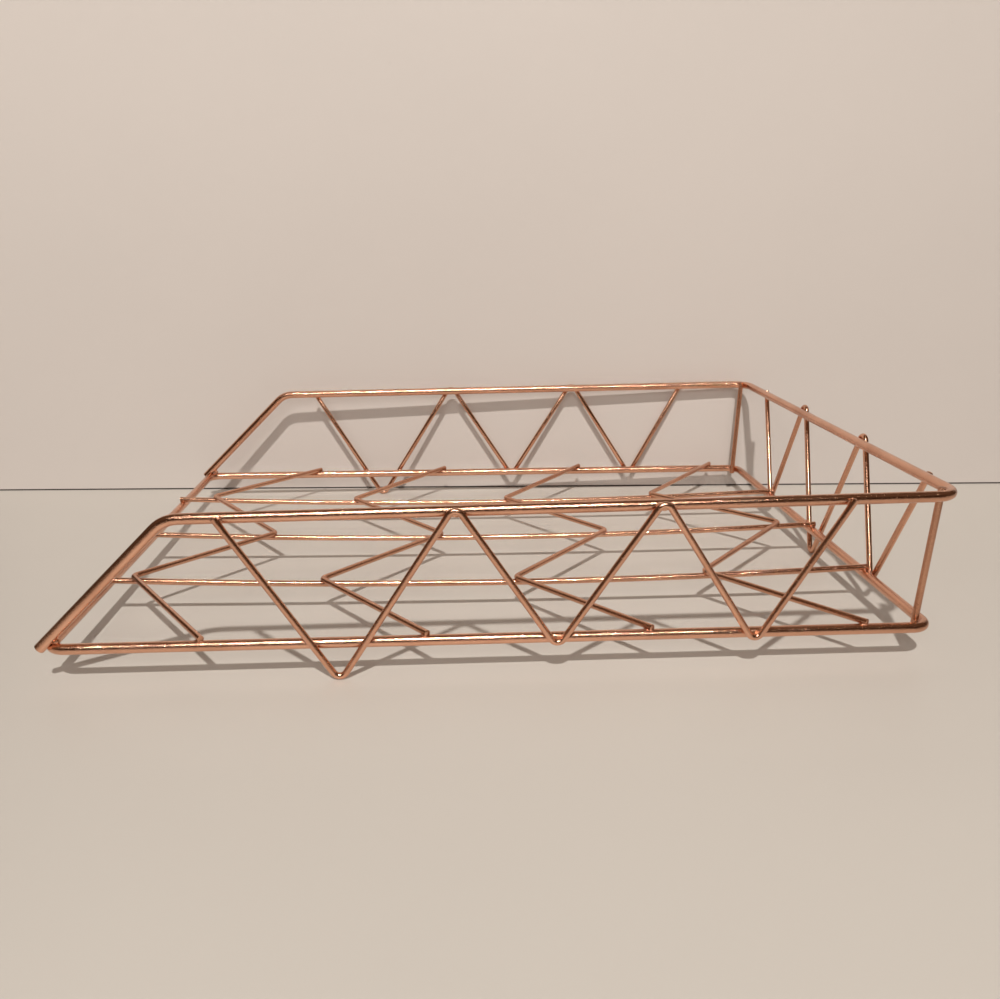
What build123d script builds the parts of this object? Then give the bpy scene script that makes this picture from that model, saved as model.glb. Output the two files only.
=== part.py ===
from build123d import *

import os
from math import acos, atan2, cos, radians, sin, sqrt, tan

# Letter tray of copper-plated round steel wire, resistance-welded wherever two wires cross.
# A closed base frame carries the floor, a rim runs round both sides and the back above it and
# slopes down to the base frame's front corners, and bent zigzag wires fill the floor and the
# walls. One bend of each wall zigzag reaches down past the base frame and is a foot.
#
# Millimetres. +Z is up and the table is at z = 0. +Y runs from the open front to the back,
# and +X is the tray's right side, seen from its front. While the pieces are made, y = 0 is the
# centre line of the base frame's front wire. The finished tray is centred over the origin.

# Wire gauges (diameters)
RAIL_WIRE = 4.0  # base frame and top rim
POST_WIRE = 2.6  # posts in the back corners
ROD_WIRE = 2.6  # straight rods from front to back
WALL_WIRE = 2.5  # zigzags of the two sides and the back
FLOOR_WIRE = 2.4  # zigzags across the floor

# Welds: how far one wire is pressed into the other where they cross
WELD_SET = 0.3  # thin wire on thick, or thin on thin
CORNER_SET = 0.6  # rim ends on the base frame's front corners
BEAD_RADIUS = 1.6  # weld beads in the corners

# Base frame, on its centre line
BASE_WIDTH = 235.0
BASE_LENGTH = 320.0
BASE_CORNER = 6.5
GROUND_GAP = 11.3  # from the table to the underside of the base frame

# Top rim, on its centre line
RIM_HEIGHT = 48.1  # above the base frame, where the slope's bend begins
RIM_RISE = 3.4  # how much higher the rim is at the back
SIDE_LEAN = 3.0  # degrees outwards
BACK_LEAN = 3.3  # degrees outwards
RIM_CORNER = 9.0
SLOPE_ANGLE = 44.5  # degrees above the table
SLOPE_BEND = 12.0
RIM_END_BEARING = 33.5  # degrees, from straight ahead of the base corner towards the side
RIM_END_LIFT = 0.4  # how far above the base frame's centre line the rim's ends stop

# Floor rods
ROD_COUNT = 3
ROD_SAG = 4.0  # how far their middle hangs below their ends
ROD_SKEW = 3.7  # how much further right their back ends lie
ROD_OVERHANG = 1.2  # past the centre lines of the front and back wires

# Floor zigzags: each runs across the tray, from the right side rail to the left one. The row
# for each gives where its ends and bends lie, in percent of BASE_LENGTH behind the front wire.
FLOOR_BENDS = (
    (16.9, 3.7, 18.7, 5.3, 20.6),
    (41.9, 27.8, 43.5, 28.6, 43.8),
    (67.4, 53.1, 68.2, 54.0, 69.3),
    (92.4, 78.1, 94.7, 78.8, 94.6),
)
FLOOR_OVERHANG = 0.6  # past the centre lines of the side rails

# Wall zigzags
THIN_BEND = 2.6  # centre-line radius of every bend in the thin wires
END_LIFT = 0.7  # how far the zigzags' ends pass above the rim's centre line
SIDE_FOOT = 102.5  # from the front wire to the side's foot
SIDE_START_RUN = 38.8  # along the rim, from the first end to the foot
SIDE_FOOT_RUN = 42.2  # from the foot to the next bend
SIDE_RUN = 36.1  # between the other bends
SIDE_END_RUN = 30.7  # from the last bend to the other end
BACK_FOOT_RUN = 34.3  # from the foot in the middle of the back to the bends beside it
BACK_RUN = 28.7
BACK_END_RUN = 29.2
BACK_PROUD = 1.5  # how far the back's upper bends stand above the rim

# Places worked out from the sizes above
BASE_Z = GROUND_GAP + RAIL_WIRE / 2
BASE_X = BASE_WIDTH / 2
ROD_SPACING = BASE_WIDTH / (ROD_COUNT + 1)
RIM_BACK_HEIGHT = RIM_HEIGHT + RIM_RISE
RIM_BACK_Y = BASE_LENGTH + RIM_BACK_HEIGHT * tan(radians(BACK_LEAN))


def rim_foot():
    """Where the right slope's centre line passes the level of the base frame."""
    bearing = radians(RIM_END_BEARING)
    lean_in = cos(bearing) / tan(radians(SLOPE_ANGLE))
    reach = BASE_CORNER + (RAIL_WIRE - CORNER_SET) * sqrt(1 + lean_in**2)
    x = BASE_X - BASE_CORNER + reach * sin(bearing)
    y = BASE_CORNER - reach * cos(bearing)
    return Vector(x, y, BASE_Z)


RIM_FRONT_Y = rim_foot().Y + RIM_HEIGHT / tan(radians(SLOPE_ANGLE))


def rim_height(y):
    """Height of the rim's centre line above the table, at y."""
    share = (y - RIM_FRONT_Y) / (RIM_BACK_Y - RIM_FRONT_Y)
    return BASE_Z + RIM_HEIGHT + RIM_RISE * share


def rim_x(y):
    """Distance of the rim's side from the middle of the tray, at y."""
    return BASE_X + (rim_height(y) - BASE_Z) * tan(radians(SIDE_LEAN))


def rod_height(y):
    """Height of the rods' centre lines above the table, at y: a shallow arc."""
    end = BASE_Z + (RAIL_WIRE + ROD_WIRE) / 2 - WELD_SET
    half = BASE_LENGTH / 2
    radius = (half**2 + ROD_SAG**2) / (2 * ROD_SAG)
    drop = sqrt(radius**2 - (y - half) ** 2) - (radius - ROD_SAG)
    return end - drop


def wire_along(path, diameter):
    """Round wire along a centre line."""
    section = Plane(origin=path @ 0, z_dir=path % 0) * Circle(diameter / 2)
    return sweep(section, path=path)


def mirrored(piece):
    """The same piece on the other side of the tray."""
    return mirror(piece, about=Plane.YZ)


def bent_line(stops, plane):
    """Centre line in a plane, led straight from stop to stop and round each one.

    A stop is (point, radius): the wire passes on its left for a radius above 0, on its right
    for one below 0, and through the point itself for 0.
    """
    legs = []
    for (a, a_radius), (b, b_radius) in zip(stops, stops[1:]):
        step = Vector(*b) - Vector(*a)
        turn = acos((a_radius - b_radius) / step.length)
        angle = atan2(step.Y, step.X) + turn
        side = Vector(cos(angle), sin(angle))
        legs.append((Vector(*a) + side * a_radius, Vector(*b) + side * b_radius, side))
    edges = [Line(legs[0][0], legs[0][1])]
    for ((point, radius), before, after) in zip(stops[1:-1], legs, legs[1:]):
        middle = Vector(*point) + (before[2] + after[2]).normalized() * radius
        edges.append(ThreePointArc(before[1], middle, after[0]))
        edges.append(Line(after[0], after[1]))
    return plane * Wire([edge.edge() for edge in edges])


def base_frame():
    """Closed rectangle of thick wire that carries the floor."""
    outline = RectangleRounded(BASE_WIDTH, BASE_LENGTH, BASE_CORNER).face().outer_wire()
    return wire_along(Pos(0, BASE_LENGTH / 2, BASE_Z) * outline, RAIL_WIRE)


def top_rim(base):
    """Thick wire up one slope, round the sides and back, and down the other slope."""
    foot = rim_foot()
    front = Vector(rim_x(RIM_FRONT_Y), RIM_FRONT_Y, rim_height(RIM_FRONT_Y))
    back = Vector(rim_x(RIM_BACK_Y), RIM_BACK_Y, rim_height(RIM_BACK_Y))
    end = foot + (front - foot) * (RIM_END_LIFT / RIM_HEIGHT)
    right = [end, front, back]
    left = [Vector(-p.X, p.Y, p.Z) for p in reversed(right)]
    bends = [SLOPE_BEND, RIM_CORNER, RIM_CORNER, SLOPE_BEND]
    path = FilletPolyline(*right, *left, radius=bends)
    return wire_along(path, RAIL_WIRE) - base


def rod_x(front_x, y):
    """Distance of a rod from the middle of the tray, at y, for a rod that starts at front_x."""
    return front_x + ROD_SKEW * y / BASE_LENGTH


def floor_rod(front_x, base):
    """Rod that rests on the front and back wires and hangs a little in between."""
    stops = (-ROD_OVERHANG, BASE_LENGTH / 2, BASE_LENGTH + ROD_OVERHANG)
    points = [Vector(rod_x(front_x, y), y, rod_height(y)) for y in stops]
    return wire_along(ThreePointArc(*points), ROD_WIRE) - base


def floor_zigzag(bends, base, rods):
    """Zigzag across the floor, on the side rails at its ends and on a rod at each bend."""
    points = []
    for stop, percent in enumerate(bends):
        y = BASE_LENGTH * percent / 100
        x = BASE_X - stop * ROD_SPACING
        if stop in (0, len(bends) - 1):
            x += FLOOR_OVERHANG if stop == 0 else -FLOOR_OVERHANG
            z = BASE_Z + (RAIL_WIRE + FLOOR_WIRE) / 2 - WELD_SET
        else:
            x = rod_x(x, y)
            z = rod_height(y) + (ROD_WIRE + FLOOR_WIRE) / 2 - WELD_SET
        points.append(Vector(x, y, z))
    zigzag = wire_along(FilletPolyline(*points, radius=THIN_BEND), FLOOR_WIRE) - base
    for rod in rods:
        zigzag = zigzag - rod
    return zigzag


def wall_stops(places, levels):
    """Stops of a wall zigzag: its two ends, and bends that are low and high by turns."""
    stops = [((places[0], levels[0]), 0)]
    for index in range(1, len(places) - 1):
        inward = THIN_BEND if index % 2 else -THIN_BEND
        stops.append(((places[index], levels[index] + inward), -inward))
    stops.append(((places[-1], levels[-1]), 0))
    return stops


def side_zigzag(base, rim):
    """Zigzag on the outside of the right wall; its first low bend is a foot."""
    lean = radians(SIDE_LEAN)
    out = (RAIL_WIRE + WALL_WIRE) / 2 - WELD_SET
    origin = (BASE_X + out * cos(lean), 0, BASE_Z - out * sin(lean))
    plane = Plane(origin=origin, x_dir=(0, 1, 0), z_dir=(cos(lean), 0, -sin(lean)))
    runs = (SIDE_FOOT_RUN, SIDE_RUN, SIDE_RUN, SIDE_RUN, SIDE_END_RUN)
    places = [SIDE_FOOT - SIDE_START_RUN, SIDE_FOOT]
    for run in runs:
        places.append(places[-1] + run)
    flush = (RAIL_WIRE - WALL_WIRE) / 2
    heights = [
        rim_height(places[0]) + END_LIFT,
        WALL_WIRE / 2,
        rim_height(places[2]) + flush,
        BASE_Z - flush,
        rim_height(places[4]) + flush,
        BASE_Z - flush,
        rim_height(places[6]) + END_LIFT,
    ]
    levels = [(height - origin[2]) / cos(lean) for height in heights]
    path = bent_line(wall_stops(places, levels), plane)
    return wire_along(path, WALL_WIRE) - base - rim


def back_zigzag(base, rim):
    """Zigzag on the outside of the back wall; its middle low bend is a foot."""
    lean = radians(BACK_LEAN)
    out = (RAIL_WIRE + WALL_WIRE) / 2 - WELD_SET
    origin = (0, BASE_LENGTH + out * cos(lean), BASE_Z - out * sin(lean))
    plane = Plane(origin=origin, x_dir=(-1, 0, 0), z_dir=(0, cos(lean), -sin(lean)))
    half = [BACK_FOOT_RUN]
    for run in (BACK_RUN, BACK_END_RUN):
        half.append(half[-1] + run)
    places = [-x for x in reversed(half)] + [0] + half
    rim_z = rim_height(RIM_BACK_Y)
    flush = (RAIL_WIRE - WALL_WIRE) / 2
    low = BASE_Z - flush
    high = rim_z + flush + BACK_PROUD
    end = rim_z + END_LIFT
    heights = [end, low, high, WALL_WIRE / 2, high, low, end]
    levels = [(height - origin[2]) / cos(lean) for height in heights]
    path = bent_line(wall_stops(places, levels), plane)
    return wire_along(path, WALL_WIRE) - base - rim


def post_line():
    """Ends of the right post's centre line, inside the corners of the base and the rim."""
    inside = (RAIL_WIRE + POST_WIRE) / 2 - WELD_SET
    low = (BASE_CORNER - inside) / sqrt(2) - BASE_CORNER
    high = (RIM_CORNER - inside) / sqrt(2) - RIM_CORNER
    rim_z = rim_height(RIM_BACK_Y)
    bottom = Vector(BASE_X + low, BASE_LENGTH + low, BASE_Z)
    top = Vector(rim_x(RIM_BACK_Y) + high, RIM_BACK_Y + high, rim_z)
    return bottom, top


def back_post(base, rim):
    """Straight post that holds the rim's right back corner above the base frame's."""
    bottom, top = post_line()
    along = (top - bottom).normalized()
    extra = RAIL_WIRE / 2
    path = Line(bottom - along * extra, top + along * extra)
    return wire_along(path, POST_WIRE) - base - rim


def bead(place, *wires):
    """Weld bead in the corner between wires that meet: a drop that fills round them."""
    drop = Pos(place) * Sphere(BEAD_RADIUS)
    for wire in wires:
        drop = drop - wire
    return max(drop.solids(), key=lambda solid: solid.volume)


def front_bead(base, rim):
    """Bead on the base frame's right front corner, in the wedge under the rim's end."""
    angle = radians(SLOPE_ANGLE)
    wedge = rim_foot().Y + RAIL_WIRE / 2 * (1 + 1 / cos(angle)) / tan(angle)
    height = BASE_Z + RAIL_WIRE / 2 + BEAD_RADIUS / 3
    return bead(Vector(BASE_X - RAIL_WIRE / 4, wedge + BEAD_RADIUS, height), base, rim)


def post_beads(base, rim, post):
    """Beads at the foot and the head of the right post, beside the wire that it touches."""
    touch = (POST_WIRE - WELD_SET) / 2
    across = BEAD_RADIUS
    beads = []
    for end in post_line():
        x = end.X + (touch + across) / sqrt(2)
        y = end.Y + (touch - across) / sqrt(2)
        beads.append(bead(Vector(x, y, end.Z + RAIL_WIRE / 4), base, rim, post))
    return beads


def both_sides(piece):
    """A right-hand piece and its mirror image, as two solids of one group."""
    return Compound([piece, mirrored(piece)])


def tray():
    """Every piece by name, while y is still measured from the front wire."""
    base = base_frame()
    rim = top_rim(base)
    pieces = {"base_frame": base, "top_rim": rim}
    rods = []
    for name, x in (("right", ROD_SPACING), ("middle", 0), ("left", -ROD_SPACING)):
        rods.append(floor_rod(x, base))
        pieces[f"floor_rod_{name}"] = rods[-1]
    for number, bends in enumerate(FLOOR_BENDS, 1):
        pieces[f"floor_zigzag_{number}"] = floor_zigzag(bends, base, rods)
    side = side_zigzag(base, rim)
    pieces["side_zigzag_right"] = side
    pieces["side_zigzag_left"] = mirrored(side)
    pieces["back_zigzag"] = back_zigzag(base, rim)
    post = back_post(base, rim)
    pieces["back_post_right"] = post
    pieces["back_post_left"] = mirrored(post)
    foot_bead, head_bead = post_beads(base, rim, post)
    pieces["front_corner_welds"] = both_sides(front_bead(base, rim))
    pieces["post_foot_welds"] = both_sides(foot_bead)
    pieces["post_head_welds"] = both_sides(head_bead)
    return pieces


def write(pieces):
    """Centre the tray over the origin and write one file for each piece."""
    box = Compound(list(pieces.values())).bounding_box()
    centred = Pos(0, -(box.min.Y + box.max.Y) / 2, 0)
    os.makedirs("parts", exist_ok=True)
    for name, piece in pieces.items():
        export_step(centred * piece, f"parts/{name}.step")


write(tray())
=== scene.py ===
import math
import random
from itertools import product

import bmesh
import bpy
from bpy.props import FloatProperty, FloatVectorProperty, IntProperty, PointerProperty
from mathutils import Matrix, Vector
from mathutils.bvhtree import BVHTree


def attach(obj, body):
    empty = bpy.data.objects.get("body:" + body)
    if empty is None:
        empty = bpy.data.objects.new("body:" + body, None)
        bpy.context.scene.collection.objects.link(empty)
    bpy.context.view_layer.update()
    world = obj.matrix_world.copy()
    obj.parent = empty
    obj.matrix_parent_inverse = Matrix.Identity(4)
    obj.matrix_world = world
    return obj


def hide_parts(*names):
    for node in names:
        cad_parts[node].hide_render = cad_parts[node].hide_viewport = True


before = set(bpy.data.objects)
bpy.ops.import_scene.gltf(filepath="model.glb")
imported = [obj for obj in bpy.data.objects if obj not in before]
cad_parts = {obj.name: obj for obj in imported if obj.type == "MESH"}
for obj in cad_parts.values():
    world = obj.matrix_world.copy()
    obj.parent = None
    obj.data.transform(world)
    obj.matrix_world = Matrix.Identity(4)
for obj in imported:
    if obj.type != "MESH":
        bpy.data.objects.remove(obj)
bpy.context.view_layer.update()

bl_info = {
    "name": "Wire Letter Tray",
    "version": (1, 0, 0),
    "blender": (4, 5, 0),
    "location": "3D View > Sidebar > Letter Tray",
    "description": "Dresses a welded wire letter tray: plating, cropped ends, welds and stage",
    "category": "Object",
}

MM = 0.001

# The wires
RAILS = ("base_frame", "top_rim")
RODS = ("floor_rod_right", "floor_rod_middle", "floor_rod_left")
FLOOR_ZIGZAGS = tuple(f"floor_zigzag_{number}" for number in range(1, 5))
WALL_ZIGZAGS = ("side_zigzag_right", "side_zigzag_left", "back_zigzag")
POSTS = ("back_post_right", "back_post_left")
RAIL_RADIUS = 2.0 * MM
ROD_RADIUS = 1.3 * MM
POST_RADIUS = 1.3 * MM
WALL_WIRE_RADIUS = 1.25 * MM
FLOOR_WIRE_RADIUS = 1.2 * MM
SAME_PLACE = 0.001 * MM  # corners of a mesh this close together are one corner
SMOOTH_ANGLE = math.radians(40)

# Cut ends: a flat disc about as large as the wire is thick
DISC_LEVEL = 0.02 * MM  # faces this close to one plane belong to one disc
DISC_AREA = (0.88, 1.02)  # of the wire's whole section
DISC_REACH = 1.1  # of the wire's radius
TIP_TAPER = 0.8  # share of its width that a rounded end loses up to its tip

# Drops of weld metal
WELD_GROUPS = ("front_corner_welds", "post_foot_welds", "post_head_welds")
DROP_SHAPE = (1.05, 0.92, 0.86)
DROP_LUMPS = 9
LUMP_TIGHTNESS = 6

# Collars round the spot welds
TOUCHING = 0.004 * MM
WELD_SPREAD = 6 * MM  # corners further apart than this belong to different welds
WELD_CORNERS = 6  # a weld with fewer corners in the mesh gets no collar
COLLAR_LENGTH = 2.6 * MM  # half of it at most, without the squeezed-out metal
COLLAR_WIDTH = 1.0 * MM  # the same, across the weld
COLLAR_HEIGHT = 0.42 * MM
COLLAR_WAVES = ((3, 0.07, 1), (5, 0.05, -1))  # waves round it, their height and their turn

# Stage
TABLE_SIZE = 6.0
WALL_HEIGHT = 0.34
WALL_WIDTH = 0.78
WALL_GAP = 0.8 * MM
# Colour of the thin dark board at the wall's foot: painted shade
PAINTED_FOOT_SHADE_COLOUR = (0.05, 0.04, 0.035)
UPRIGHT = Matrix.Rotation(math.radians(90), 4, "Y")
LAMP_AIM = (0, 0, 0.02)
LAMP_COLOUR = (1.0, 0.955, 0.90)
PANEL_AIM = (0, 0, 0.05)
PANEL_SIZE = (1.15, 0.55)
PANEL_COLOUR = (1.0, 0.97, 0.93)
SHADE_PLACE = (0.89, -0.12, 0.92)
SHADE_AIM = (0.1, -0.04, 0.03)
SHADE_SIZE = (0.38, 0.40)
SHADE_POWER = 3.6
SHADE_COLOUR = (1.0, 1.0, 0.97)
FLAG_PLACE = (0.50, 0.0, 0.16)
FLAG_SIZE = (0.34, 1.5)
FLAG_COLOUR = (0.10, 0.06, 0.035)
ROOM_STRENGTH = (0.55, 1.1)  # level with the table, and straight overhead
SENSOR_WIDTH = 36  # millimetres


# ---------------------------------------------------------------- settings


class LETTERTRAY_PG_plating(bpy.types.PropertyGroup):
    """The bright copper plating of all the wires."""

    copper: FloatVectorProperty(
        name="Copper", description="Colour of clean plating", subtype="COLOR",
        size=3, min=0, max=1, default=(0.755, 0.42, 0.28))
    tarnish: FloatVectorProperty(
        name="Tarnish", description="Colour where the plating has browned", subtype="COLOR",
        size=3, min=0, max=1, default=(0.42, 0.175, 0.09))
    tarnish_share: FloatProperty(
        name="Tarnish Share", description="How much of the plating has browned",
        subtype="FACTOR", min=0, max=1, default=0.45)
    polish: FloatProperty(
        name="Roughness", description="Roughness of the smoothest plating",
        subtype="FACTOR", min=0, max=1, default=0.075)
    peel_depth: FloatProperty(
        name="Peel Depth", description="Depth of the waves in the plating",
        subtype="DISTANCE", unit="LENGTH", min=0, default=0.1 * MM)
    peel_size: FloatProperty(
        name="Peel Size", description="Distance between waves in the plating of the thick wire",
        subtype="DISTANCE", unit="LENGTH", min=0.1 * MM, default=0.85 * MM)


class LETTERTRAY_PG_ends(bpy.types.PropertyGroup):
    """The cropped and tumbled ends of the wires."""

    crown: FloatProperty(
        name="Crown", description="How far a wire's end stands out in its middle",
        subtype="FACTOR", min=0, max=0.5, default=0.2)
    steps: IntProperty(
        name="Steps", description="Rings of faces on a rounded end", min=1, max=6, default=4)


class LETTERTRAY_PG_welds(bpy.types.PropertyGroup):
    """Spot welds where wires cross, and drops of weld metal in the corners."""

    collar: FloatProperty(
        name="Collar", description="Width of the metal squeezed out round a spot weld",
        subtype="DISTANCE", unit="LENGTH", min=0, default=0.35 * MM)
    drop: FloatProperty(
        name="Drop", description="Radius of a drop of weld metal",
        subtype="DISTANCE", unit="LENGTH", min=0.2 * MM, default=1.3 * MM)
    lumps: FloatProperty(
        name="Lumps", description="How uneven the weld metal is",
        subtype="FACTOR", min=0, max=0.5, default=0.12)


class LETTERTRAY_PG_stage(bpy.types.PropertyGroup):
    """Table, wall, lights and camera."""

    table: FloatVectorProperty(
        name="Table", description="Colour of the table", subtype="COLOR",
        size=3, min=0, max=1, default=(0.65, 0.614, 0.566))
    wall: FloatVectorProperty(
        name="Wall", description="Colour of the wall", subtype="COLOR",
        size=3, min=0, max=1, default=(0.62, 0.567, 0.53))
    wall_place: FloatVectorProperty(
        name="Wall Place", description="A point on the foot of the wall", subtype="TRANSLATION",
        unit="LENGTH", size=3, default=(-0.1281, 0.075, 0.0))
    wall_turn: FloatProperty(
        name="Wall Turn", description="How far the wall is turned from the tray's left side",
        subtype="ANGLE", unit="ROTATION", default=math.radians(2.0))
    lamp_place: FloatVectorProperty(
        name="Lamp Place", description="Centre of the lamp", subtype="TRANSLATION",
        unit="LENGTH", size=3, default=(1.55, -0.12, 1.98))
    lamp_size: FloatProperty(
        name="Lamp Size", description="Diameter of the lamp", subtype="DISTANCE",
        unit="LENGTH", min=0.01, default=0.075)
    lamp_power: FloatProperty(
        name="Lamp Power", description="Power of the lamp", subtype="POWER",
        unit="POWER", min=0, default=46.0)
    panel_place: FloatVectorProperty(
        name="Panel Place", description="Centre of the wide soft panel",
        subtype="TRANSLATION", unit="LENGTH", size=3, default=(1.25, -0.15, 0.60))
    panel_power: FloatProperty(
        name="Panel Power", description="Power of the wide soft panel",
        subtype="POWER", unit="POWER", min=0, default=7.0)
    room: FloatVectorProperty(
        name="Room", description="Colour of the dim room round the stage", subtype="COLOR",
        size=3, min=0, max=1, default=(0.12, 0.078, 0.05))
    camera_place: FloatVectorProperty(
        name="Camera Place", description="Where the camera stands", subtype="TRANSLATION",
        unit="LENGTH", size=3, default=(0.418829, -0.018656, 0.155421))
    camera_bearing: FloatProperty(
        name="Bearing", description="How far the camera turns from the -X axis towards the back",
        subtype="ANGLE", unit="ROTATION", default=0.0567)
    camera_tilt: FloatProperty(
        name="Tilt", description="How far the camera looks down",
        subtype="ANGLE", unit="ROTATION", default=0.2892)
    camera_roll: FloatProperty(
        name="Roll", description="Turn of the camera round its own axis",
        subtype="ANGLE", unit="ROTATION", default=-0.0013)
    lens: FloatProperty(
        name="Lens", description="Focal length on a 36 mm sensor, in millimetres",
        min=10, max=200, default=32.83)


class LETTERTRAY_PG_settings(bpy.types.PropertyGroup):
    """All the settings of the tray."""

    plating: PointerProperty(type=LETTERTRAY_PG_plating)
    ends: PointerProperty(type=LETTERTRAY_PG_ends)
    welds: PointerProperty(type=LETTERTRAY_PG_welds)
    stage: PointerProperty(type=LETTERTRAY_PG_stage)


# ---------------------------------------------------------------- materials


class Signal:
    """A number that runs through a material's nodes, with Python's operators for its maths."""

    def __init__(self, recipe, socket):
        self.recipe = recipe
        self.socket = socket

    def maths(self, operation, *values):
        return self.recipe.add("ShaderNodeMath", {"operation": operation}, dict(enumerate(values)))

    def __add__(self, other):
        return self.maths("ADD", self, other)

    def __sub__(self, other):
        return self.maths("SUBTRACT", self, other)

    def __rsub__(self, other):
        return self.maths("SUBTRACT", other, self)

    def __mul__(self, other):
        return self.maths("MULTIPLY", self, other)

    __radd__ = __add__
    __rmul__ = __mul__

    def between(self, low, high):
        """0 below low, 1 above high, and an even slope in between."""
        return self.recipe.add("ShaderNodeMapRange", {"clamp": True}, {
            "Value": self, "From Min": low, "From Max": high})


class Recipe:
    """The nodes of one material, or of the room round the stage."""

    def __init__(self, owner, output="ShaderNodeOutputMaterial", coordinates="Object"):
        self.owner = owner
        owner.use_nodes = True
        self.tree = owner.node_tree
        self.tree.nodes.clear()
        self.output = self.tree.nodes.new(output)
        self.place = self.add("ShaderNodeTexCoord", {}, {}, coordinates)

    def add(self, kind, settings, inputs, output=0):
        """Adds a node, sets it up, feeds its sockets and returns one of its outputs."""
        node = self.tree.nodes.new(kind)
        for key, value in settings.items():
            setattr(node, key, value)
        for key, value in inputs.items():
            if isinstance(value, Signal):
                self.tree.links.new(value.socket, node.inputs[key])
            else:
                node.inputs[key].default_value = value
        return Signal(self, node.outputs[output])

    def noise(self, scale, detail, roughness, distortion=0.0):
        return self.add("ShaderNodeTexNoise", {}, {
            "Vector": self.place, "Scale": scale, "Detail": detail,
            "Roughness": roughness, "Distortion": distortion}, "Fac")

    def blend(self, share, low, high):
        return self.add("ShaderNodeMix", {"data_type": "RGBA", "blend_type": "MIX"}, {
            0: share, 6: low, 7: high}, 2)

    def bump(self, height, depth, strength=1.0, normal=None):
        inputs = {"Height": height, "Distance": depth, "Strength": strength}
        if normal:
            inputs["Normal"] = normal
        return self.add("ShaderNodeBump", {}, inputs, "Normal")

    def show(self, shader):
        """Makes a shader the one that is seen."""
        self.tree.links.new(shader.socket, self.output.inputs["Surface"])

    def surface(self, **sockets):
        """One shader for the whole surface."""
        shader = self.add("ShaderNodeBsdfPrincipled", {}, {
            key.replace("_", " "): value for key, value in sockets.items()})
        self.show(shader)
        return shader

    def open_back(self, front):
        """Makes the side that faces away see-through."""
        behind = self.add("ShaderNodeNewGeometry", {}, {}, "Backfacing")
        clear = self.add("ShaderNodeBsdfTransparent", {}, {})
        self.show(self.add("ShaderNodeMixShader", {}, {0: behind, 1: front, 2: clear}))


def material_recipe(name):
    return Recipe(bpy.data.materials.new(name))


def rgba(colour):
    return (*colour, 1.0)


def copper_plate(name, size_share=1.0, depth_share=1.0, rougher=0.0, dulled=0.0):
    """Bright copper plating on drawn wire: waves, ripples, grit, browned patches and specks.

    The shares set how large and how deep its waves are beside those of the thick wire.
    """
    plating = settings().plating
    peel_size = plating.peel_size * size_share
    r = material_recipe(name)
    waves = r.noise(scale=1 / peel_size, detail=3.0, roughness=0.55, distortion=0.4)
    ripples = r.noise(scale=2.4 / peel_size, detail=2.0, roughness=0.6)
    grit = r.noise(scale=6500, detail=2.0, roughness=0.7)
    browned = r.noise(scale=34, detail=4.0, roughness=0.62).between(0.46, 0.72)
    specks = r.noise(scale=900, detail=3.0, roughness=0.6).between(0.63, 0.72)
    share = browned * plating.tarnish_share + dulled + specks * 0.25
    colour = r.blend(share, rgba(plating.copper), rgba(plating.tarnish))
    shine = plating.polish + rougher + browned * 0.07 + (ripples - 0.5) * 0.12 + specks * 0.2
    normal = r.bump(waves * 0.7 + ripples, plating.peel_depth * depth_share)
    normal = r.bump(grit, depth=0.004 * MM, strength=0.6, normal=normal)
    r.surface(Base_Color=colour, Metallic=1.0, Roughness=shine, Normal=normal)
    return r.owner


def weld_metal():
    """Plated weld metal, made once: duller, rougher and more browned than the wire."""
    name = "weld_plating"
    if name in bpy.data.materials:
        return bpy.data.materials[name]
    plating = settings().plating
    r = material_recipe(name)
    lumps = r.noise(scale=1500, detail=4.0, roughness=0.6)
    scale = r.noise(scale=420, detail=3.0, roughness=0.6).between(0.42, 0.66)
    colour = r.blend(scale * 0.7, rgba(plating.copper), rgba(plating.tarnish))
    normal = r.bump(lumps, depth=0.12 * MM)
    r.surface(Base_Color=colour, Metallic=1.0, Roughness=0.2 + scale * 0.22, Normal=normal)
    return r.owner


def painted(name, colour, grain_size, mottle, roughness, one_sided=False):
    """A painted or laminated board with a faint mottle, small marks and a fine grain.

    A one-sided board has no back, so the tray can be looked at from behind it too.
    """
    r = material_recipe(name)
    cloud = r.noise(scale=3.2, detail=3.0, roughness=0.5)
    grain = r.noise(scale=1 / grain_size, detail=3.0, roughness=0.6)
    marks = r.noise(scale=46, detail=5.0, roughness=0.66).between(0.70, 0.76)
    darker = tuple(value * 0.88 for value in colour)
    shade = r.blend((cloud - 0.5) * mottle + 0.5 + marks * 0.35, rgba(colour), rgba(darker))
    normal = r.bump(grain, depth=0.05 * MM, strength=0.5)
    rough = roughness + (grain - 0.5) * 0.1
    front = r.surface(Base_Color=shade, Roughness=rough, Normal=normal)
    if one_sided:
        r.open_back(front)
    return r.owner


# ---------------------------------------------------------------- modelling helpers


def settings():
    return bpy.context.scene.letter_tray


def deselect():
    if bpy.context.object and bpy.context.object.mode != "OBJECT":
        bpy.ops.object.mode_set(mode="OBJECT")
    bpy.ops.object.select_all(action="DESELECT")


def take(obj):
    """Selects one object and nothing else, and makes it active."""
    deselect()
    obj.select_set(True)
    bpy.context.view_layer.objects.active = obj


def apply_place(obj):
    """Moves an object's place, turn and size into its mesh."""
    take(obj)
    bpy.ops.object.transform_apply(location=True, rotation=True, scale=True)


def dress(obj, material):
    obj.data.materials.clear()
    obj.data.materials.append(material)
    for face in obj.data.polygons:
        face.material_index = 0


def box_middle(points):
    """The middle of the box round some points."""
    low = Vector(min(point[axis] for point in points) for axis in range(3))
    high = Vector(max(point[axis] for point in points) for axis in range(3))
    return (low + high) / 2


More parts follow.
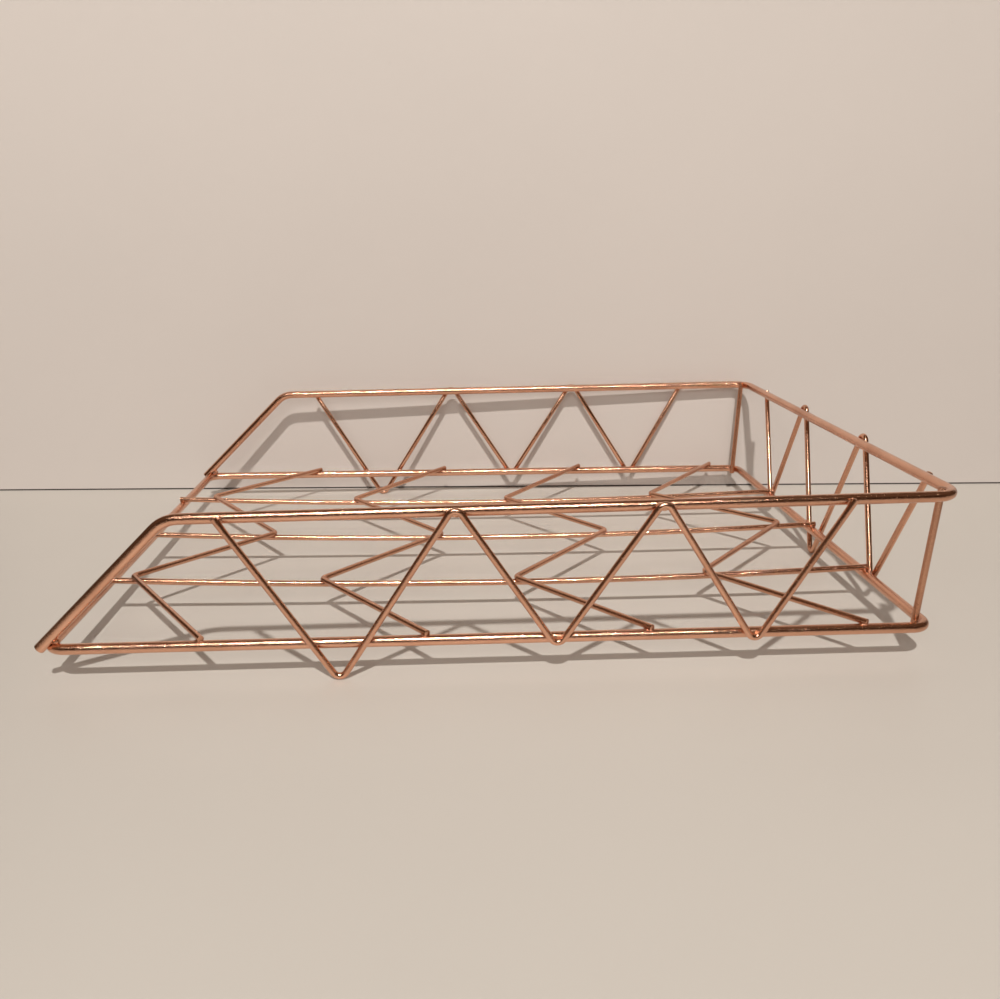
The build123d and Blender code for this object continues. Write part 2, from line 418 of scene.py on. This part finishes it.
def flat_discs(mesh, radius):
    """The cut ends of a wire: each as its faces, its middle and the way that it faces."""
    work = bmesh.new()
    work.from_mesh(mesh)
    groups = {}
    for face in work.faces:
        level = round(face.normal.dot(face.calc_center_median()) / DISC_LEVEL)
        way = tuple(round(value, 2) for value in face.normal)
        groups.setdefault((way, level), []).append(face)
    whole = math.pi * radius ** 2
    discs = []
    for faces in groups.values():
        share = sum(face.calc_area() for face in faces) / whole
        corners = [vertex.co.copy() for face in faces for vertex in face.verts]
        middle = box_middle(corners)
        reach = max((corner - middle).length for corner in corners)
        if DISC_AREA[0] < share < DISC_AREA[1] and reach < DISC_REACH * radius:
            discs.append(([face.index for face in faces], middle, faces[0].normal.copy()))
    work.free()
    return discs


def copy_of_node(node, name):
    """A copy of a CAD node with its triangles merged into one skin."""
    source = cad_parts[node]
    obj = bpy.data.objects.new(name, source.data.copy())
    obj.matrix_world = source.matrix_world.copy()
    bpy.context.scene.collection.objects.link(obj)
    apply_place(obj)
    bpy.ops.mesh.customdata_custom_splitnormals_clear()
    bpy.ops.object.mode_set(mode="EDIT")
    bpy.ops.mesh.select_all(action="SELECT")
    bpy.ops.mesh.remove_doubles(threshold=SAME_PLACE)
    bpy.ops.object.mode_set(mode="OBJECT")
    return obj


def select_faces(obj, faces):
    """Selects some faces of an object and leaves it in edit mode."""
    take(obj)
    bpy.ops.object.mode_set(mode="EDIT")
    bpy.ops.mesh.select_mode(type="FACE")
    bpy.ops.mesh.select_all(action="DESELECT")
    bpy.ops.object.mode_set(mode="OBJECT")
    for index in faces:
        obj.data.polygons[index].select = True
    bpy.ops.object.mode_set(mode="EDIT")


def crown_ends(obj, radius):
    """Rounds each cut end of a wire into a low crown, drawn out and narrowed step by step."""
    ends = settings().ends
    for _ in flat_discs(obj.data, radius):
        faces, middle, way = flat_discs(obj.data, radius)[0]
        select_faces(obj, faces)
        spread, height = 1.0, 0.0
        for step in range(1, ends.steps + 1):
            narrower = 1 - TIP_TAPER * step / ends.steps
            higher = ends.crown * radius * (1 - narrower ** 2)
            share = narrower / spread
            lift = way * (higher - height)
            bpy.ops.mesh.extrude_region()
            bpy.ops.transform.resize(value=(share, share, share), center_override=middle)
            bpy.ops.transform.translate(value=lift)
            middle = middle + lift
            spread, height = narrower, higher
        bpy.ops.object.mode_set(mode="OBJECT")


def dress_wires(nodes, radius, material):
    """Replaces CAD wires by plated copies with rounded ends."""
    for node in nodes:
        obj = copy_of_node(node, node + "_wire")
        crown_ends(obj, radius)
        take(obj)
        bpy.ops.object.shade_smooth_by_angle(angle=SMOOTH_ANGLE)
        dress(obj, material)
        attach(obj, "root")
        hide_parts(node)


# ---------------------------------------------------------------- pieces


class LETTERTRAY_OT_rails(bpy.types.Operator):
    """Dresses the base frame and the top rim, the two pieces of thick wire"""

    bl_idname = "letter_tray.rails"
    bl_label = "Base Frame and Top Rim"

    def execute(self, context):
        dress_wires(RAILS, RAIL_RADIUS, copper_plate("rail_plating"))
        return {"FINISHED"}


class LETTERTRAY_OT_floor_rods(bpy.types.Operator):
    """Dresses the three rods that run from front to back"""

    bl_idname = "letter_tray.floor_rods"
    bl_label = "Floor Rods"

    def execute(self, context):
        material = copper_plate("floor_rod_plating", size_share=0.8, depth_share=0.7)
        dress_wires(RODS, ROD_RADIUS, material)
        return {"FINISHED"}


class LETTERTRAY_OT_floor_zigzags(bpy.types.Operator):
    """Dresses the four zigzags across the floor"""

    bl_idname = "letter_tray.floor_zigzags"
    bl_label = "Floor Zigzags"

    def execute(self, context):
        material = copper_plate("floor_zigzag_plating", size_share=0.7, depth_share=0.6,
                                rougher=0.05, dulled=0.12)
        dress_wires(FLOOR_ZIGZAGS, FLOOR_WIRE_RADIUS, material)
        return {"FINISHED"}


class LETTERTRAY_OT_wall_zigzags(bpy.types.Operator):
    """Dresses the zigzags of the two sides and the back, whose lowest bends are the feet"""

    bl_idname = "letter_tray.wall_zigzags"
    bl_label = "Wall Zigzags"

    def execute(self, context):
        material = copper_plate("wall_zigzag_plating", size_share=0.7, depth_share=0.6,
                                rougher=0.08, dulled=0.06)
        dress_wires(WALL_ZIGZAGS, WALL_WIRE_RADIUS, material)
        return {"FINISHED"}


class LETTERTRAY_OT_back_posts(bpy.types.Operator):
    """Dresses the two posts in the back corners"""

    bl_idname = "letter_tray.back_posts"
    bl_label = "Back Posts"

    def execute(self, context):
        material = copper_plate("post_plating", size_share=0.6, depth_share=0.9,
                                rougher=0.1, dulled=0.3)
        dress_wires(POSTS, POST_RADIUS, material)
        return {"FINISHED"}


def islands(mesh):
    """The separate closed bodies in a mesh, each as the middle of its own box."""
    work = bmesh.new()
    work.from_mesh(mesh)
    bmesh.ops.remove_doubles(work, verts=work.verts, dist=SAME_PLACE)
    seen = set()
    middles = []
    for start in work.verts:
        if start in seen:
            continue
        seen.add(start)
        stack = [start]
        body = []
        while stack:
            vertex = stack.pop()
            body.append(vertex.co.copy())
            for edge in vertex.link_edges:
                other = edge.other_vert(vertex)
                if other not in seen:
                    seen.add(other)
                    stack.append(other)
        middles.append(box_middle(body))
    work.free()
    return middles


def weld_drop(place, radius, lumps, seed):
    """One lumpy drop of weld metal, shaped from a ball of faces."""
    deselect()
    bpy.ops.mesh.primitive_ico_sphere_add(subdivisions=4, radius=radius, location=place)
    drop = bpy.context.object
    bpy.ops.object.mode_set(mode="EDIT")
    bpy.ops.mesh.select_all(action="SELECT")
    bpy.ops.transform.resize(value=DROP_SHAPE, center_override=place)
    bpy.ops.object.mode_set(mode="OBJECT")
    dice = random.Random(seed)
    bumps = [(Vector((dice.uniform(-1, 1), dice.uniform(-1, 1), dice.uniform(-1, 1))).normalized(),
              dice.uniform(-1, 1)) for _ in range(DROP_LUMPS)]
    for vertex in drop.data.vertices:
        out = vertex.co.normalized()
        lift = sum(size * math.exp(-LUMP_TIGHTNESS * (1 - out.dot(way))) for way, size in bumps)
        vertex.co = vertex.co * (1 + lumps * lift)
    apply_place(drop)
    bpy.ops.object.shade_smooth()
    return drop


def joined(objects, name):
    """Several objects made one; their places are in their meshes already."""
    deselect()
    for obj in objects:
        obj.select_set(True)
    bpy.context.view_layer.objects.active = objects[0]
    if len(objects) > 1:
        bpy.ops.object.join()
    result = bpy.context.object
    result.name = name
    result.data.name = name
    return result


class LETTERTRAY_OT_weld_drops(bpy.types.Operator):
    """Puts lumpy drops of weld metal in the front corners and at both ends of the posts"""

    bl_idname = "letter_tray.weld_drops"
    bl_label = "Weld Drops"

    def execute(self, context):
        welds = settings().welds
        for node in WELD_GROUPS:
            drops = [weld_drop(middle, welds.drop, welds.lumps, f"{node}{number}")
                     for number, middle in enumerate(islands(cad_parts[node].data))]
            piece = joined(drops, node.replace("welds", "weld_drops"))
            dress(piece, weld_metal())
            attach(piece, "root")
            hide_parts(node)
        return {"FINISHED"}


def skin(node):
    """A CAD node's surface, for finding what touches it."""
    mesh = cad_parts[node].data
    return BVHTree.FromPolygons([v.co for v in mesh.vertices], [p.vertices for p in mesh.polygons])


def contacts(thin, thick):
    """The spot welds of a thin wire on a thick one, as far as the thin wire's mesh shows them.

    Each is its middle, the way that the thick wire's surface faces there, the way that the
    weld runs and half its length. A weld is a group of the thin wire's corners that lie on the
    thick wire.
    """
    surface = skin(thick)
    groups = []
    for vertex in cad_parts[thin].data.vertices:
        _, normal, _, distance = surface.find_nearest(vertex.co)
        if distance >= TOUCHING:
            continue
        point = vertex.co.copy()
        for group in groups:
            if (group[0][0] - point).length < WELD_SPREAD:
                group.append((point, normal))
                break
        else:
            groups.append([(point, normal)])
    found = []
    for group in groups:
        if len(group) < WELD_CORNERS:
            continue
        middle = sum((point for point, _ in group), Vector()) / len(group)
        lift = sum((normal for _, normal in group), Vector()).normalized()
        far = max(group, key=lambda corner: (corner[0] - middle).length)[0]
        run = far - middle
        run = run - lift * run.dot(lift)
        found.append((middle, lift, run.normalized(), min(run.length, COLLAR_LENGTH)))
    return found


def collar(middle, lift, run, reach, width, seed):
    """The metal squeezed out round one spot weld: a flattened, uneven cushion of faces."""
    deselect()
    bpy.ops.mesh.primitive_uv_sphere_add(segments=24, ring_count=12, radius=1.0)
    cushion = bpy.context.object
    phase = random.Random(seed).uniform(0, 6)
    length = reach + width
    across = min(reach, COLLAR_WIDTH) + width
    for vertex in cushion.data.vertices:
        x, y, z = vertex.co
        angle = math.atan2(y, x)
        ragged = 1
        for waves, size, turn in COLLAR_WAVES:
            ragged = ragged + size * math.sin(waves * angle + turn * phase)
        vertex.co = (length * x * ragged, across * y * ragged, COLLAR_HEIGHT * z)
    side = lift.cross(run).normalized()
    turned = Matrix((run, side, lift)).transposed().to_4x4()
    cushion.matrix_world = Matrix.Translation(middle) @ turned
    apply_place(cushion)
    bpy.ops.object.shade_smooth()
    return cushion


class LETTERTRAY_OT_spot_welds(bpy.types.Operator):
    """Puts a collar of squeezed-out metal round the spot welds between the wires"""

    bl_idname = "letter_tray.spot_welds"
    bl_label = "Spot Welds"

    def execute(self, context):
        width = settings().welds.collar
        crossings = {
            "floor_spot_welds": [*product(FLOOR_ZIGZAGS, ("base_frame", *RODS)),
                                 *product(RODS, ("base_frame",))],
            "wall_spot_welds": [*product(WALL_ZIGZAGS, RAILS)],
        }
        for name, pairs in crossings.items():
            collars = [collar(*contact, width, f"{thin}{thick}{number}")
                       for thin, thick in pairs
                       for number, contact in enumerate(contacts(thin, thick))]
            piece = joined(collars, name)
            dress(piece, weld_metal())
            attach(piece, "root")
        return {"FINISHED"}


# ---------------------------------------------------------------- stage


def board(name, width, depth, material):
    """A flat board that lies with its middle at the origin."""
    deselect()
    bpy.ops.mesh.primitive_plane_add(size=1)
    obj = bpy.context.object
    obj.name = name
    bpy.ops.object.mode_set(mode="EDIT")
    bpy.ops.transform.resize(value=(width, depth, 1))
    bpy.ops.object.mode_set(mode="OBJECT")
    dress(obj, material)
    return obj


def area_light(name, place, aim, power, colour, shape, size, depth=None):
    """A lamp or panel that shines from its place towards a point."""
    light = bpy.data.lights.new(name, "AREA")
    light.shape = shape
    light.size = size
    if depth:
        light.size_y = depth
    light.energy = power
    light.color = colour
    obj = bpy.data.objects.new(name, light)
    obj.location = place
    obj.rotation_euler = (Vector(aim) - Vector(place)).to_track_quat("-Z", "Y").to_euler()
    bpy.context.scene.collection.objects.link(obj)
    return obj


def set_boards(stage):
    """The table, and the wall raised a little, with a thin dark board of painted shade filling the
    space along its foot.
    """
    board("table", TABLE_SIZE, TABLE_SIZE,
          painted("table_top", stage.table, grain_size=0.6 * MM, mottle=0.9, roughness=0.42))
    wall = board("wall", WALL_HEIGHT, WALL_WIDTH,
                 painted("wall_paint", stage.wall, grain_size=0.9 * MM, mottle=0.9,
                         roughness=0.6, one_sided=True))
    # A thin dark board under the raised wall: painted shade, standing in for the dark space at the
    # wall's foot
    painted_shade_strip = board("wall_foot_painted_shade", WALL_GAP, WALL_WIDTH,
                painted("gap_shade", PAINTED_FOOT_SHADE_COLOUR, grain_size=0.9 * MM, mottle=0.9,
                        roughness=0.9, one_sided=True))
    turn = Matrix.Rotation(-stage.wall_turn, 4, "Z")
    wall.matrix_world = Matrix.Translation(stage.wall_place) @ turn @ UPRIGHT
    painted_shade_strip.matrix_world = wall.matrix_world.copy()
    painted_shade_strip.location.z += WALL_GAP / 2
    wall.location.z += WALL_GAP + WALL_HEIGHT / 2


def set_lights(stage):
    """The lamp, a fill panel that isn't seen in the wire, and a lamp shade seen only there."""
    area_light("lamp", stage.lamp_place, LAMP_AIM, stage.lamp_power, LAMP_COLOUR, "DISK",
               stage.lamp_size)
    panel = area_light("panel", stage.panel_place, PANEL_AIM, stage.panel_power, PANEL_COLOUR,
                       "RECTANGLE", *PANEL_SIZE)
    panel.visible_glossy = False
    shade = area_light("lamp_shade", SHADE_PLACE, SHADE_AIM, SHADE_POWER, SHADE_COLOUR,
                       "RECTANGLE", *SHADE_SIZE)
    shade.visible_diffuse = False


def set_dark_flag():
    """A dark screen that only the plating's reflections see, as the unlit side of a room."""
    flag = board("dark_flag", *FLAG_SIZE,
                 painted("flag_cloth", FLAG_COLOUR, grain_size=0.5 * MM, mottle=0.5,
                         roughness=0.9))
    flag.matrix_world = Matrix.Translation(FLAG_PLACE) @ UPRIGHT
    flag.visible_camera = False
    flag.visible_diffuse = False
    flag.visible_shadow = False


def light_room(colour, backdrop):
    """A dim warm room, a little paler overhead, and a plain pale backdrop to look at."""
    world = bpy.data.worlds.new("room")
    r = Recipe(world, "ShaderNodeOutputWorld", "Generated")
    level, overhead = ROOM_STRENGTH
    up = r.add("ShaderNodeSeparateXYZ", {}, {0: r.place}, "Z")
    strength = r.add("ShaderNodeMapRange", {}, {
        "Value": up, "To Min": level, "To Max": overhead})
    room = r.add("ShaderNodeBackground", {}, {"Color": rgba(colour), "Strength": strength})
    pale = r.add("ShaderNodeBackground", {}, {"Color": rgba(backdrop)})
    seen = r.add("ShaderNodeLightPath", {}, {}, "Is Camera Ray")
    r.show(r.add("ShaderNodeMixShader", {}, {0: seen, 1: room, 2: pale}))
    bpy.context.scene.world = world


def set_camera(stage):
    """The camera, turned by its bearing, its tilt and its roll."""
    camera = bpy.data.cameras.new("camera")
    camera.lens = stage.lens
    camera.sensor_width = SENSOR_WIDTH
    camera.clip_start = 0.01
    obj = bpy.data.objects.new("camera", camera)
    bearing, tilt, roll = stage.camera_bearing, stage.camera_tilt, stage.camera_roll
    ahead = Vector((-math.cos(bearing), math.sin(bearing), 0))
    right = Vector((math.sin(bearing), math.cos(bearing), 0))
    up = Vector((0, 0, 1))
    look = ahead * math.cos(tilt) - up * math.sin(tilt)
    rise = up * math.cos(tilt) + ahead * math.sin(tilt)
    side = right * math.cos(roll) + rise * math.sin(roll)
    rise = rise * math.cos(roll) - right * math.sin(roll)
    turn = Matrix((side, rise, -look)).transposed()
    obj.matrix_world = Matrix.Translation(stage.camera_place) @ turn.to_4x4()
    bpy.context.scene.collection.objects.link(obj)
    bpy.context.scene.camera = obj


class LETTERTRAY_OT_stage(bpy.types.Operator):
    """Sets up the table, the wall close behind the tray, the lights and the camera"""

    bl_idname = "letter_tray.stage"
    bl_label = "Stage"

    def execute(self, context):
        stage = settings().stage
        set_boards(stage)
        set_lights(stage)
        set_dark_flag()
        light_room(stage.room, stage.wall)
        set_camera(stage)
        context.scene.view_settings.view_transform = "Standard"
        return {"FINISHED"}


# ---------------------------------------------------------------- panel


PIECES = (
    LETTERTRAY_OT_rails,
    LETTERTRAY_OT_floor_rods,
    LETTERTRAY_OT_floor_zigzags,
    LETTERTRAY_OT_wall_zigzags,
    LETTERTRAY_OT_back_posts,
    LETTERTRAY_OT_weld_drops,
    LETTERTRAY_OT_spot_welds,
    LETTERTRAY_OT_stage,
)


class LETTERTRAY_PT_panel(bpy.types.Panel):
    """Lists the tray's pieces and settings"""

    bl_idname = "LETTERTRAY_PT_panel"
    bl_label = "Letter Tray"
    bl_space_type = "VIEW_3D"
    bl_region_type = "UI"
    bl_category = "Letter Tray"

    def draw(self, context):
        layout = self.layout
        tray = context.scene.letter_tray
        for operator in PIECES:
            layout.operator(operator.bl_idname)
        for group in (tray.plating, tray.ends, tray.welds, tray.stage):
            box = layout.box()
            for name in group.__annotations__:
                box.prop(group, name)


CLASSES = (
    LETTERTRAY_PG_plating,
    LETTERTRAY_PG_ends,
    LETTERTRAY_PG_welds,
    LETTERTRAY_PG_stage,
    LETTERTRAY_PG_settings,
    *PIECES,
    LETTERTRAY_PT_panel,
)


def register():
    for cls in CLASSES:
        bpy.utils.register_class(cls)
    bpy.types.Scene.letter_tray = PointerProperty(type=LETTERTRAY_PG_settings)


def unregister():
    del bpy.types.Scene.letter_tray
    for cls in reversed(CLASSES):
        bpy.utils.unregister_class(cls)


def main():
    register()
    bpy.ops.letter_tray.rails()
    bpy.ops.letter_tray.floor_rods()
    bpy.ops.letter_tray.floor_zigzags()
    bpy.ops.letter_tray.wall_zigzags()
    bpy.ops.letter_tray.back_posts()
    bpy.ops.letter_tray.weld_drops()
    bpy.ops.letter_tray.spot_welds()
    bpy.ops.letter_tray.stage()


if __name__ == "__main__":
    main()
